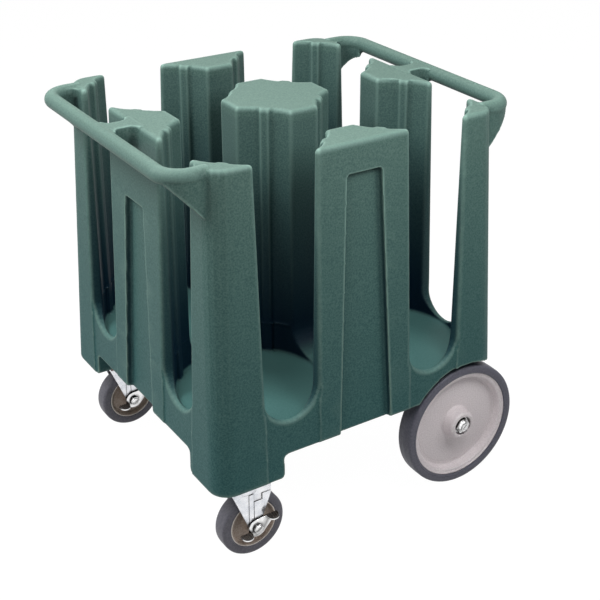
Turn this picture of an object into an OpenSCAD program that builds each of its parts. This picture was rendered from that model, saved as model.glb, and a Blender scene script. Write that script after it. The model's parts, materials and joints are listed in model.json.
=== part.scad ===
// Four-well plate cart: one moulded body with nine hollow towers round four
// round wells, a hand rail at each end, two fixed wheels and two braked casters.
// +Z is up, the wheels stand on z = 0 and the origin is under the body's middle.

/* [Body] */
// How far a well reaches past the end faces at the tower tops
end_open = 1.5; // [0:0.5:4]
// How far a well reaches past the side faces at the tower tops
side_open = 4.5; // [0:0.5:7]
// How far each end face leans out from tower top to bottom edge
end_lean = 17; // [8:1:20]
// How far each side face leans out from tower top to bottom edge
side_lean = 21; // [10:1:22]
// Height of the tower tops
top_z = 765; // [700:5:800]
// Height of the bottom edge between the feet
base_z = 212; // [208:1:220]
// Radius of the four outer upright corners
corner_r = 38; // [25:1:45]
// Rounding of the bottom edges
edge_r = 6; // [3:0.5:8]
// How far the walls under the slots sit behind the towers' faces
wall_jog = 3; // [1:0.5:4]
// Length of a caster foot at the tower tops' outline
foot_len = 117; // [110:1:125]
// Width of a caster foot at the tower tops' outline
foot_wid = 91; // [85:1:100]

/* [Wells] */
// Radius of each well
well_r = 137.5; // [134:0.5:139]
// Least distance between two neighbouring wells
well_gap = 35; // [32:1:38]
// Height of the well floors
floor_z = 272; // [269:1:280]
// Width of the slots through the walls and between the wells
slot_w = 110; // [100:1:116]
// Lip that a slot's round bottom leaves above the floor
slot_lip = 5; // [3:0.5:8]
// Width of the upright guide rib in each flute
rib_w = 20; // [14:1:26]
// Height of the guide rib over the flute
rib_h = 6.5; // [4:0.5:8]
// Rounding of the towers' upright edges
tip_r = 6; // [4:0.5:7]
// Rounding of the towers' top edges
top_round = 7; // [4:0.5:8]

/* [Face panels] */
// Depth of the sunk panel in a middle tower's face
panel_d = 12; // [8:1:14]
// Width of the panel at its top
panel_top_w = 72; // [60:1:80]
// Width of the panel at the body's bottom edge
panel_low_w = 110; // [90:1:120]
// Top of the panel on the two long sides
side_panel_z = 709; // [680:1:715]
// Top of the panel on the two ends
end_panel_z = 617; // [600:1:640]

/* [Rails] */
// Radius of a hand rail's bar
rail_r = 14.5; // [13:0.5:15]
// How far a hand rail's axis lies under the tower tops
rail_drop = 11.5; // [10:0.5:20]
// How far a rail's end arms sit in from the side faces
rail_arm_in = 36; // [32:1:43]
// Bend radius of a rail's corners, on the bar's axis
rail_bend_r = 42; // [38:1:50]
// Width of a rail's middle arm
mid_arm_w = 34; // [28:1:50]
// Radius that blends an arm into its tower and the bar
arm_blend = 13; // [8:1:16]

/* [Fixed wheels] */
// Radius of a fixed wheel
wheel_r = 127; // [120:0.5:130]
// Width of a fixed wheel's tyre
wheel_w = 39; // [36:1:44]
// How far the axle sits in from the end face
axle_in = 56; // [50:1:62]
// How far a tyre's outer face stands out from the side face
wheel_proud = 12; // [8:1:15]
// Thickness of a fixed wheel's rubber outside its rim
tyre_wall = 17; // [14:1:22]
// How far a hub's boss stands out from its tyre
hub_out = 6; // [3:0.5:7]
// How far a hub's disc is sunk behind its tyre's face
disc_in = 20; // [14:1:22]
// Radius of the axle
axle_r = 9.5; // [8:0.5:10]

/* [Casters] */
// Radius of a caster wheel
caster_r = 63.5; // [58:0.5:65]
// Width of a caster wheel's tyre
caster_w = 32; // [28:1:34]
// How far a swivel axis sits in from the end face
caster_in_x = 57; // [52:1:62]
// How far a swivel axis sits in from the side face
caster_in_y = 32; // [30:1:38]
// How far the caster wheel trails its swivel axis
trail = 14; // [10:1:25]
// Thickness of a caster wheel's rubber outside its core
roller_wall = 17.5; // [13.5:1:21.5]
// Height of a caster's swivel head over its wheel
caster_head = 39; // [37:1:45]
// How far a fork leg reaches ahead of the swivel axis
fork_fore = 31; // [28:1:36]
// How far a fork leg reaches behind the swivel axis
fork_aft = 46; // [40:1:48]

/* [Hidden] */

moulding_colour = "#5f7d74";
steel_colour = "#c8ccd0";
chrome_colour = "#dfe3e8";
zinc_colour = "#cfd2d8";
tyre_colour = "#4a4c55";
hub_colour = "#c4bcbf";
core_colour = "#6f6157";
pad_colour = "#1d1d1f";
race_colour = "#8a5a36";

// Gaps: over, a cut's run past a face; near_gap, between pieces that turn past
// each other; run_gap, round a turning shaft; snug, round a fixed bolt.
over = 2;
near_gap = 0.4;
run_gap = 0.05;
snug = 0.15;

slot_half = slot_w / 2;
slot_axis_z = floor_z + slot_lip + slot_half;
well_off = well_r + well_gap / 2;
top_half_len = well_off + well_r - end_open;
top_half_wid = well_off + well_r - side_open;
wheel_x = top_half_len - axle_in;
wheel_out_y = top_half_wid + wheel_proud;
caster_x = top_half_len - caster_in_x;
caster_y = top_half_wid - caster_in_y;
rim_r = wheel_r - tyre_wall;
core_r = caster_r - roller_wall;
foot_z = 2 * caster_r + caster_head;
rail_x = wheel_x + wheel_r - rail_r;
rail_z = top_z - rail_drop;
rail_arm_y = top_half_wid - rail_arm_in;
arc_steps = 5;
flute_steps = 5;
round_steps = 3;
least_r = 1;

// Half length and half width of the body at a height
function half_len(z) = top_half_len + end_lean * (top_z - z) / (top_z - base_z);
function half_wid(z) = top_half_wid + side_lean * (top_z - z) / (top_z - base_z);

// Points along an arc about c from angle a to angle b
function arc_points(c, r, a, b, steps = arc_steps) =
  [for (i = [0:steps]) c + r * [cos(a + (b - a) * i / steps), sin(a + (b - a) * i / steps)]];

function reversed(points) = [for (i = [len(points) - 1:-1:0]) points[i]];

// Centre of the rounding between a flute and the face at x = s, seen from the
// well's centre. A face at y = h that comes too close takes the rounding over.
function tip_centre(s, r, wall, h) =
  let (y = sqrt(pow(wall + r, 2) - pow(s + r, 2)))
  h - r >= y ? [s + r, y] : [sqrt(pow(wall + r, 2) - pow(h - r, 2)), h - r];

// One flute with its rib and both roundings, from the face at x = s to the face
// at y = s. hx and hy are the outer faces' distances from the well's centre.
function flute(s, r, wall, hx, hy, rib) =
  let (
    first = tip_centre(s, r, wall, hy),
    last_mirrored = tip_centre(s, r, wall, hx),
    last = [last_mirrored[1], last_mirrored[0]],
    a = atan2(first[1], first[0]),
    b = atan2(last[1], last[0]),
    rib_a = asin(rib_w / 2 / wall),
    rib_top = wall - rib
  )
  concat(
    arc_points(first, r, 180, 180 + a),
    arc_points([0, 0], wall, a - 1, 45 + rib_a + 1, flute_steps),
    arc_points([0, 0], rib_top, 45 + rib_a - 1, 45 - rib_a + 1, 2),
    arc_points([0, 0], wall, 45 - rib_a - 1, b + 1, flute_steps),
    arc_points(last, r, 180 + b, 270)
  );

// Outlines of the three kinds of tower, drawn in the quarter where x and y are
// positive. inset draws the whole outline in by that much, for rounded tops.
function corner_outline(z, inset) =
  let (
    r = max(tip_r - inset, least_r),
    s = slot_half + inset,
    wall = well_r + inset,
    hx = half_len(z) - well_off - inset,
    hy = half_wid(z) - well_off - inset,
    corner = corner_r - inset,
    first = tip_centre(s, r, wall, hy),
    last = tip_centre(s, r, wall, hx)
  )
  [for (p = concat(
    flute(s, r, wall, hx, hy, rib_h),
    arc_points([hx - r, last[0]], r, 270, 360),
    arc_points([hx - corner, hy - corner], corner, 0, 90),
    arc_points([first[0], hy - r], r, 90, 180)
  )) p + [well_off, well_off]];

function middle_outline(h, inset) =
  let (
    r = max(tip_r - inset, least_r),
    s = slot_half + inset,
    wall = well_r + inset,
    hy = h - well_off - inset,
    first = tip_centre(s, r, wall, hy),
    half = concat(
      arc_points([first[0], hy - r], r, 90, 180),
      flute(s, r, wall, h, hy, rib_h)
    ),
    left = [for (p = half) [p[0] - well_off, p[1] + well_off]]
  )
  concat(left, reversed([for (p = left) [-p[0], p[1]]]));

function centre_outline(inset) =
  let (
    r = max(tip_r - inset, least_r),
    quarter = flute(slot_half + inset, r, well_r + inset, top_z, top_z, rib_h),
    one = [for (p = quarter) [p[0] - well_off, p[1] - well_off]],
    two = reversed([for (p = one) [p[0], -p[1]]]),
    three = [for (p = one) [-p[0], -p[1]]],
    four = reversed([for (p = one) [-p[0], p[1]]])
  )
  concat(one, four, three, two);

// Heights and insets of a tower's sections: upright, then rounded at the top
tower_levels = concat(
  [[slot_axis_z, 0]],
  [for (i = [0:round_steps])
    let (a = 90 * i / round_steps)
    [top_z - top_round * (1 - sin(a)), top_round * (1 - cos(a))]]
);

// Solid through a list of outlines, all with the same number of points
module skin(outlines, levels) {
  n = len(outlines[0]);
  points = [for (k = [0:len(levels) - 1]) for (p = outlines[k]) [p[0], p[1], levels[k]]];
  sides = [for (k = [0:len(levels) - 2]) for (i = [0:n - 1])
    [k * n + i, (k + 1) * n + i, (k + 1) * n + (i + 1) % n, k * n + (i + 1) % n]];
  low = [for (i = [0:n - 1]) i];
  high = [for (i = [n - 1:-1:0]) (len(levels) - 1) * n + i];
  polyhedron(points = points, faces = concat(sides, [low, high]), convexity = 6);
}

// Cuts a flat shape into the leaning face at -Y, depth deep. The shape is drawn
// in the face, with its y as the height over the tower tops.
module face_cut(face, lean, depth) {
  translate([0, -face, top_z]) rotate([-atan2(lean, top_z - base_z), 0, 0])
    translate([0, depth, 0]) rotate([90, 0, 0])
      linear_extrude(height = depth + corner_r) children();
}

// Outline of a middle tower's sunk panel, down past the bottom edge
panel_corner = 6;
module panel_shape(panel_z) {
  low = base_z - over - top_z;
  high = panel_z - panel_corner - top_z;
  side = panel_top_w / 2 - panel_corner;
  polygon(concat(
    [[-panel_low_w / 2, low], [panel_low_w / 2, low]],
    arc_points([side, high], panel_corner, 0, 90),
    arc_points([-side, high], panel_corner, 90, 180)
  ));
}

module side_panel() { face_cut(top_half_wid, side_lean, panel_d) panel_shape(side_panel_z); }
module end_panel() {
  rotate([0, 0, -90]) face_cut(top_half_len, end_lean, panel_d) panel_shape(end_panel_z);
}

// Towers
module corner_tower(sx, sy) {
  color(moulding_colour) mirror([sx < 0 ? 1 : 0, 0, 0]) mirror([0, sy < 0 ? 1 : 0, 0])
    skin([for (l = tower_levels) corner_outline(l[0], l[1])], [for (l = tower_levels) l[0]]);
}

module middle_tower(turn, along_y) {
  color(moulding_colour) difference() {
    rotate([0, 0, turn])
      skin(
        [for (l = tower_levels) middle_outline(along_y ? half_wid(l[0]) : half_len(l[0]), l[1])],
        [for (l = tower_levels) l[0]]
      );
    if (along_y) rotate([0, 0, turn + 180]) side_panel();
    else rotate([0, 0, turn - 90]) end_panel();
  }
}

module centre_tower() {
  color(moulding_colour)
    skin([for (l = tower_levels) centre_outline(l[1])], [for (l = tower_levels) l[0]]);
}

// Lower body: floors, slot bottoms, caster feet and wheel arches
foot_in_x = top_half_len - foot_len;
foot_in_y = top_half_wid - foot_wid;
foot_round = 9;
arch_gap = 12;
arch_r = wheel_r + arch_gap;
arch_side_gap = 8;
arch_in_y = wheel_out_y - wheel_w - arch_side_gap;
bolt_depth = 22;
caster_bolt_r = 4;
caster_bolt_x = 36;
caster_bolt_y = 30;
hanger_bolt_r = 5;
hanger_bolt_x = 46;
hanger_bolt_in = 24;
hanger_pad = 16;
hanger_flange = 40;
hanger_sheet = 6;
hanger_clear = 4;
hanger_y = arch_in_y - hanger_clear;
hanger_bolt_y = hanger_y - hanger_bolt_in;
lip_steps = 16;
lip_rest = 1;

function block_outline(z, inset) =
  let (x = half_len(z) - corner_r, y = half_wid(z) - corner_r, r = corner_r - inset)
  concat(
    arc_points([x, y], r, 0, 90, 8), arc_points([-x, y], r, 90, 180, 8),
    arc_points([-x, -y], r, 180, 270, 8), arc_points([x, -y], r, 270, 360, 8)
  );

// Drafted block with a rounded bottom edge
module block(low, high) {
  levels = concat(
    [for (i = [0:round_steps])
      let (a = 90 * i / round_steps)
      [low + edge_r * (1 - cos(a)), edge_r * (1 - sin(a))]],
    [[high, 0]]
  );
  skin([for (l = levels) block_outline(l[0], l[1])], [for (l = levels) l[0]]);
}

// Side view of a foot's inner step, between the foot and the bottom edge
module foot_step(inner) {
  high = base_z + edge_r + over;
  polygon(concat(
    [[-2 * inner, high], [-2 * inner, foot_z]],
    arc_points([-inner - foot_round, foot_z + foot_round], foot_round, 270, 360),
    arc_points([-inner + foot_round, base_z - foot_round], foot_round, 180, 90),
    [[-inner + foot_round, high]]
  ));
}

module feet() {
  intersection() {
    block(foot_z, base_z + edge_r + over);
    rotate([90, 0, 0]) linear_extrude(height = 2 * top_z, center = true) foot_step(foot_in_x);
    union() for (s = [0, 1]) mirror([0, s, 0])
      rotate([90, 0, 90]) linear_extrude(height = 2 * top_z, center = true) foot_step(foot_in_y);
  }
}

module well_cut() {
  difference() {
    translate([0, 0, floor_z]) cylinder(h = slot_axis_z, r = well_r, $fn = 96);
    for (a = [45:90:315]) rotate([0, 0, a]) translate([well_r - rib_h, -rib_w / 2, 0])
      cube([rib_h + over, rib_w, top_z]);
  }
}

// Solid through sections that are open rounds, such as arch gives, closed by a
// straight line between their ends. All have the same odd number of points.
module loft(sections) {
  n = len(sections[0]);
  m = len(sections);
  sides = [for (k = [0:m - 2]) for (i = [0:n - 1]) let (j = (i + 1) % n)
    each [[k * n + i, (k + 1) * n + i, (k + 1) * n + j], [k * n + i, (k + 1) * n + j, k * n + j]]];
  strip = [for (i = [0:(n - 3) / 2]) each i + 1 == n - 2 - i
    ? [[i, i + 1, n - 1 - i]]
    : [[i, i + 1, n - 1 - i], [i + 1, n - 2 - i, n - 1 - i]]];
  last = [for (f = strip) [for (i = [2:-1:0]) (m - 1) * n + f[i]]];
  polyhedron(points = [for (one = sections) each one], faces = concat(sides, strip, last), convexity = 6);
}

// A slot's round bottom, wider by e, as points [x, z, share]. The share is how
// much of wall_jog the wall beside the point is set back by.
jog_angle = acos(slot_half / (slot_half + tip_r));
function arch(e) =
  let (r = slot_half + e)
  concat(
    [[r, slot_axis_z + over, 0]],
    [for (i = [1:lip_steps - 1])
      let (a = 180 * i / lip_steps)
      [r * cos(a), slot_axis_z - r * sin(a), min(1, sin(a) / sin(jog_angle))]],
    [[-r, slot_axis_z + over, 0]]
  );

// One section of a slot, wider by e, at a depth behind the leaning face at -Y
function face_section(face, lean, e, depth) =
  [for (p = arch(e))
    [p[0], depth + wall_jog * p[2] - face - lean * (top_z - p[1]) / (top_z - base_z), p[1]]];

// One section of a slot, wider by e, at a distance round a well's centre on the
// side that way points to
function well_section(way, e, distance) =
  [for (p = arch(e)) [p[0], way * sqrt(pow(distance, 2) - pow(p[0], 2)) - well_off, p[1]]];

// The rounding of a slot's edge at a well's wall, as [e, distance], from the
// slot out into the well
well_lip = let (
    centre = tip_centre(slot_half, tip_r, well_r, top_z),
    turn = atan2(centre[1], centre[0])
  )
  concat(
    [for (i = [0:round_steps - 1])
      let (a = turn * i / round_steps)
      [tip_r * (1 - cos(a)), norm(centre - tip_r * [cos(a), sin(a)])]],
    [[slot_lip - lip_rest, well_r - over]]
  );

// Slots from the leaning face at -Y into the two wells behind it, and what is
// cut from the wall under them
module wall_slots(face, lean) {
  face_lip = concat(
    [[2 * tip_r, -over - wall_jog]],
    [for (i = [0:round_steps])
      let (a = 15 + 75 * i / round_steps)
      [tip_r * (1 - sin(a)), tip_r * (1 - cos(a))]]
  );
  for (c = [-well_off, well_off]) translate([c, 0, 0]) {
    loft(concat(
      [for (l = face_lip) face_section(face, lean, l[0], l[1])],
      [for (l = well_lip) well_section(-1, l[0], l[1])]
    ));
    face_cut(face, lean, wall_jog) translate([-slot_half, foot_z - over - top_z])
      square([slot_w, slot_axis_z - foot_z + 2 * over]);
  }
}

// Slots between neighbouring wells, across y = 0
module middle_slots() {
  half = [for (l = reversed(well_lip)) well_section(1, l[0], l[1])];
  for (c = [-well_off, well_off]) translate([c, 0, 0])
    loft(concat(half, reversed([for (one = half) [for (p = one) [p[0], -p[1], p[2]]]])));
}

module bolt_holes(half_x, half_y, r) {
  for (x = [-half_x, half_x]) for (y = [-half_y, half_y])
    translate([x, y, -over]) cylinder(h = bolt_depth + over, r = r + snug, $fn = 32);
}

module lower_body() {
  color(moulding_colour) difference() {
    union() {
      block(base_z, slot_axis_z);
      feet();
    }
    for (x = [-well_off, well_off]) for (y = [-well_off, well_off]) translate([x, y, 0]) {
      well_cut();
    }
    for (a = [0, 90]) rotate([0, 0, a]) middle_slots();
    for (s = [0, 1]) mirror([0, s, 0]) {
      translate([wheel_x, -arch_in_y, wheel_r]) rotate([90, 0, 0])
        cylinder(h = arch_r, r = arch_r, $fn = 96);
      translate([-caster_x, -caster_y, foot_z]) bolt_holes(caster_bolt_x, caster_bolt_y, caster_bolt_r);
      translate([wheel_x, -hanger_bolt_y, base_z]) bolt_holes(hanger_bolt_x, 0, hanger_bolt_r);
      side_panel();
      wall_slots(top_half_wid, side_lean);
    }
    for (s = [0, 1]) mirror([s, 0, 0]) {
      end_panel();
      rotate([0, 0, -90]) wall_slots(top_half_len, end_lean);
    }
  }
}

// Hand rails
rail_sink = 11;
gusset_drop = 52;
gusset_w = 24;
mid_gusset_drop = 28;
web_half = 9;
arm_end = half_len(rail_z) - rail_sink;
rail_straight = rail_arm_y - rail_bend_r;

// Side view of the slanted underside of an arm, from the tower out to the bar
module arm_slant(drop, high, out) {
  low = rail_z - drop;
  polygon([
    [-arm_end, high], [-out, high], [-out, rail_z - rail_r + over],
    [-half_len(low), low], [-arm_end, low]
  ]);
}

// Plan of the blend between an arm's side at y = half and its tower, and the
// bar too if bar is true. The points run from the bar to inside the tower.
function arm_side(half, bar) =
  let (tower_x = -half_len(rail_z), bar_x = rail_r - rail_x)
  concat(
    bar
      ? concat(
          [[-rail_x, half + arm_blend]],
          arc_points([bar_x + arm_blend, half + arm_blend], arm_blend, 180, 270)
        )
      : [[bar_x + arm_blend, half]],
    arc_points([tower_x - arm_blend, half + arm_blend], arm_blend, 270, 360),
    [[-arm_end, half + arm_blend]]
  );

module rail(side) {
  bend_x = rail_bend_r - rail_x;
  arm_len = -bend_x - arm_end;
  low = rail_z - gusset_drop;
  end_half = rail_r - over;
  middle = arm_side(mid_arm_w / 2, true);
  color(moulding_colour) mirror([side, 0, 0]) {
    translate([-rail_x, 0, rail_z]) rotate([90, 0, 0])
      cylinder(h = 2 * rail_straight, r = rail_r, center = true, $fn = 48);
    for (s = [0, 1]) mirror([0, s, 0]) {
      translate([bend_x, rail_straight, rail_z]) rotate([0, 0, 90])
        rotate_extrude(angle = 90, $fn = 96) translate([rail_bend_r, 0]) circle(r = rail_r, $fn = 48);
      translate([bend_x, rail_arm_y, rail_z]) rotate([0, 90, 0])
        cylinder(h = arm_len, r = rail_r, $fn = 48);
      translate([0, rail_arm_y, rail_z - web_half]) linear_extrude(height = 2 * web_half)
        polygon(concat(
          [for (p = arm_side(end_half, false)) [p[0], -p[1]]],
          [[-arm_end, 0], [bend_x, 0]]
        ));
      // Gusset that fans out under the bend
      intersection() {
        rotate([90, 0, 0]) linear_extrude(height = 2 * top_z, center = true)
          arm_slant(gusset_drop, rail_z, rail_x);
        union() {
          translate([bend_x, rail_straight, low]) rotate([0, 0, 90])
            rotate_extrude(angle = 90, $fn = 96) translate([rail_bend_r - gusset_w / 2, 0])
              square([gusset_w, gusset_drop]);
          translate([bend_x, rail_arm_y - gusset_w / 2, low])
            cube([arm_len, gusset_w, gusset_drop]);
        }
      }
    }
    // Middle arm, level with the tower top
    intersection() {
      rotate([90, 0, 0]) linear_extrude(height = 2 * top_z, center = true)
        arm_slant(mid_gusset_drop, rail_z + rail_r - over, rail_x);
      translate([0, 0, low]) linear_extrude(height = 2 * gusset_drop)
        polygon(concat(middle, reversed([for (p = middle) [p[0], -p[1]]])));
    }
  }
}

// Fixed wheels, drawn for the near side and mirrored to the far side
boss_r = 34;
bearing_r = 15;
washer_r = 18;
washer_t = 2.5;
bore_gap = 1;
bore_d = 9;
cap_r = 15.5;
cap_hollow = 6;
wheel_in_y = wheel_out_y - wheel_w;
boss_out_y = wheel_out_y + hub_out;
seat_y = boss_out_y - bore_d;

module near_wheel(side) {
  mirror([0, side, 0]) translate([wheel_x, 0, wheel_r]) rotate([90, 0, 0]) children();
}

module wheel_tyre(side) {
  shoulder = 8;
  seat = 1.5;
  lip = 3;
  color(tyre_colour) near_wheel(side) rotate_extrude($fn = 128)
    polygon(concat(
      [[rim_r, wheel_out_y - seat], [rim_r, wheel_in_y + seat], [rim_r + lip, wheel_in_y]],
      arc_points([wheel_r - shoulder, wheel_in_y + shoulder], shoulder, 270, 360),
      arc_points([wheel_r - shoulder, wheel_out_y - shoulder], shoulder, 0, 90),
      [[rim_r + lip, wheel_out_y]]
    ));
}

// Hub with a deep sunk disc, and a boss whose bore hides the axle's nut
module wheel_hub(side) {
  web = 9;
  lip = 3.5;
  flange = 9;
  flange_drop = 3;
  wall = 4;
  foot = 5;
  edge = 1.5;
  web_out_y = wheel_out_y - disc_in;
  disc_r = rim_r - flange - wall;
  bore_r = washer_r + bore_gap;
  color(hub_colour) near_wheel(side) rotate_extrude($fn = 128)
    polygon([
      [bearing_r, wheel_in_y], [boss_r, wheel_in_y], [boss_r + foot, web_out_y - web],
      [disc_r - wall, web_out_y - web], [disc_r, wheel_in_y + lip], [rim_r, wheel_in_y + lip],
      [rim_r, wheel_out_y - lip], [rim_r - lip, wheel_out_y - lip],
      [disc_r + wall, wheel_out_y - lip - flange_drop], [disc_r, web_out_y],
      [boss_r + foot, web_out_y], [boss_r, boss_out_y - edge], [boss_r - edge, boss_out_y],
      [bore_r, boss_out_y], [bore_r, seat_y], [bearing_r, seat_y]
    ]);
}

module wheel_bearing(side) {
  color(steel_colour) near_wheel(side) difference() {
    translate([0, 0, wheel_in_y]) cylinder(h = seat_y - wheel_in_y, r = bearing_r, $fn = 64);
    translate([0, 0, wheel_in_y - over])
      cylinder(h = wheel_w + over, r = axle_r + run_gap, $fn = 64);
  }
}

module wheel_washer(side) {
  color(chrome_colour) near_wheel(side) translate([0, 0, seat_y + near_gap]) difference() {
    cylinder(h = washer_t, r = washer_r, $fn = 64);
    translate([0, 0, -over]) cylinder(h = washer_t + 2 * over, r = axle_r + snug, $fn = 64);
  }
}

// Hexagon nut closed by a dome, on the axle's end
module wheel_cap(side) {
  hex_h = 6.5;
  dome_r = 12;
  dome_h = 10.5;
  round_r = 4;
  dimple_r = 5;
  dimple = 1;
  color(chrome_colour) near_wheel(side) translate([0, 0, seat_y + near_gap + washer_t])
    difference() {
      union() {
        cylinder(h = hex_h, r = cap_r, $fn = 6);
        rotate_extrude($fn = 64) polygon(concat(
          [[0, 0], [dome_r, 0]],
          arc_points([dome_r - round_r, dome_h - round_r], round_r, 0, 90),
          [[dimple_r, dome_h], [dimple_r - dimple, dome_h - dimple], [0, dome_h - dimple]]
        ));
      }
      translate([0, 0, -over]) cylinder(h = cap_hollow + over, r = axle_r + snug, $fn = 64);
    }
}

module axle() {
  color(steel_colour) translate([wheel_x, 0, wheel_r]) rotate([90, 0, 0])
    cylinder(h = 2 * (seat_y + washer_t + cap_hollow), r = axle_r, center = true, $fn = 64);
}

// Bracket that hangs the axle under the body
module axle_hanger(side) {
  hanger_t = hanger_sheet;
  half = hanger_bolt_x + hanger_pad;
  eye_r = 23;
  cheek = 12;
  top = base_z - wheel_r;
  color(steel_colour) near_wheel(side) difference() {
    union() {
      translate([0, 0, hanger_y - hanger_t]) linear_extrude(height = hanger_t)
        polygon(concat(
          [[half, top], [-half, top], [-half, top - cheek]],
          arc_points([0, 0], eye_r, 200, 340, 12),
          [[half, top - cheek]]
        ));
      translate([-half, top - hanger_t, hanger_y - hanger_flange])
        cube([2 * half, hanger_t, hanger_flange]);
    }
    translate([0, 0, hanger_y - 2 * hanger_t])
      cylinder(h = 3 * hanger_t, r = axle_r + snug, $fn = 64);
    for (x = [-hanger_bolt_x, hanger_bolt_x])
      translate([x, top + over, hanger_bolt_y]) rotate([90, 0, 0])
        cylinder(h = hanger_t + 2 * over, r = hanger_bolt_r + snug, $fn = 32);
  }
}

// A bolt with its head down at z = 0 and its shank up
module bolt(head_r, head_h, shank_r, length) {
  translate([0, 0, -head_h]) cylinder(h = head_h, r = head_r, $fn = 6);
  cylinder(h = length, r = shank_r, $fn = 32);
}

module hanger_bolts() {
  head_r = 8.5;
  head_h = 6.4;
  color(steel_colour) for (s = [0, 1]) mirror([0, s, 0])
    for (x = [-hanger_bolt_x, hanger_bolt_x])
      translate([wheel_x + x, -hanger_bolt_y, base_z - hanger_sheet])
        bolt(head_r, head_h, hanger_bolt_r, hanger_sheet + bolt_depth - over);
}

// Spacer tube between a hanger and its wheel
module axle_collar(side) {
  wall = 6.5;
  color(steel_colour) near_wheel(side) difference() {
    translate([0, 0, hanger_y])
      cylinder(h = wheel_in_y - near_gap - hanger_y, r = axle_r + wall, $fn = 48);
    cylinder(h = wheel_out_y, r = axle_r + snug, $fn = 48);
  }
}

// Casters, drawn about the swivel axis. side 0 is the near one and 1 the far one,
// and both carry their brake on the -Y side.
plate_t = 4;
race_h = 8;
fork_room = 14;
plate_z = foot_z - plate_t;
race_r = 31;
race_z = plate_z - race_h;
crown_z = 2 * caster_r + fork_room;
crown_t = 4;
leg_room = 5;
leg_t = 4;
leg_in = caster_w / 2 + leg_room;
leg_out = leg_in + leg_t;
leg_fall = 13;
eye_r = 13;
waist_x = 14;
waist_z = 16.5;
pin_r = 6;
bolt_r = 6;
bush_r = 10;
bead_w = 9;
detent_t = 1.4;
rocker_in = leg_out + detent_t + near_gap;
rocker_t = 3;
nut_r = 9.5;
nut_reach = 5;

module at_caster(side) { translate([-caster_x, side == 0 ? -caster_y : caster_y, 0]) children(); }
module at_axle(side) { at_caster(side) translate([trail, 0, caster_r]) rotate([90, 0, 0]) children(); }
module at_rocker(side) { at_axle(side) translate([0, 0, rocker_in]) children(); }

module caster_plate(side) {
  rim_x = 12;
  rim_y = 12;
  corner = 9;
  x = caster_bolt_x + rim_x - corner;
  y = caster_bolt_y + rim_y - corner;
  color(zinc_colour) at_caster(side) translate([0, 0, plate_z]) difference() {
    linear_extrude(height = plate_t) polygon(concat(
      arc_points([x, y], corner, 0, 90), arc_points([-x, y], corner, 90, 180),
      arc_points([-x, -y], corner, 180, 270), arc_points([x, -y], corner, 270, 360)
    ));
    for (bx = [-caster_bolt_x, caster_bolt_x]) for (by = [-caster_bolt_y, caster_bolt_y])
      translate([bx, by, -over])
        cylinder(h = plate_t + 2 * over, r = caster_bolt_r + snug, $fn = 32);
    translate([0, 0, -over]) cylinder(h = plate_t + 2 * over, r = pin_r + snug, $fn = 48);
  }
}

module caster_bolts(side) {
  head_r = 6.5;
  head_h = 5.3;
  color(steel_colour) at_caster(side)
    for (x = [-caster_bolt_x, caster_bolt_x]) for (y = [-caster_bolt_y, caster_bolt_y])
      translate([x, y, plate_z]) bolt(head_r, head_h, caster_bolt_r, plate_t + bolt_depth - over);
}

module caster_race(side) {
  color(race_colour) at_caster(side) difference() {
    translate([0, 0, race_z]) cylinder(h = race_h, r = race_r, $fn = 64);
    translate([0, 0, race_z - over]) cylinder(h = race_h + 2 * over, r = pin_r + snug, $fn = 48);
  }
}

module caster_kingpin(side) {
  nut_h = 7.5;
  low = crown_z - near_gap - nut_h;
  color(steel_colour) at_caster(side) translate([0, 0, low]) {
    cylinder(h = nut_h, r = nut_r, $fn = 6);
    cylinder(h = foot_z - low, r = pin_r, $fn = 48);
  }
}

// Side view of a fork leg, from the crown down round the wheel's bolt
module leg_shape() {
  corner = [-fork_fore, crown_z];
  reach = corner - [trail, caster_r];
  tangent = atan2(reach[1], reach[0]) + acos(eye_r / norm(reach));
  polygon(concat(
    [[fork_aft, crown_z + crown_t], [-fork_fore, crown_z + crown_t], corner],
    arc_points([trail, caster_r], eye_r, tangent, 360, 12),
    [[trail + waist_x, caster_r + waist_z], [fork_aft, crown_z - leg_fall]]
  ));
}

// Pressed fork: a crown under the raceway and two legs with a raised bead each
module caster_fork(side) {
  cup_z = race_z - near_gap;
  cup_in = 2;
  bead_low = caster_r + eye_r - bead_w / 2;
  bead_high = crown_z - bead_w / 2;
  color(zinc_colour) at_caster(side) difference() {
    union() {
      translate([-fork_fore, -leg_out, crown_z]) cube([fork_fore + fork_aft, 2 * leg_out, crown_t]);
      translate([0, 0, crown_z]) cylinder(h = cup_z - crown_z, r = race_r - cup_in, $fn = 64);
      for (s = [0, 1]) mirror([0, s, 0]) {
        translate([0, leg_out, 0]) rotate([90, 0, 0]) linear_extrude(height = leg_t) leg_shape();
        translate([0, leg_out + detent_t, bead_low])
          rotate([90, 0, 0]) linear_extrude(height = detent_t + over) square([bead_w, bead_high - bead_low]);
      }
    }
    translate([0, 0, crown_z - over])
      cylinder(h = cup_z - crown_z + 2 * over, r = pin_r + run_gap, $fn = 48);
    translate([trail, 0, caster_r]) rotate([90, 0, 0])
      cylinder(h = 4 * leg_out, r = bolt_r + snug, center = true, $fn = 48);
  }
}

module caster_axle_bolt(side) {
  head_h = 6.5;
  color(steel_colour) at_axle(side) {
    translate([0, 0, -leg_out])
      cylinder(h = leg_out + rocker_in + rocker_t + nut_reach, r = bolt_r, $fn = 48);
    translate([0, 0, -leg_out - head_h]) cylinder(h = head_h, r = nut_r, $fn = 6);
  }
}

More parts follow.
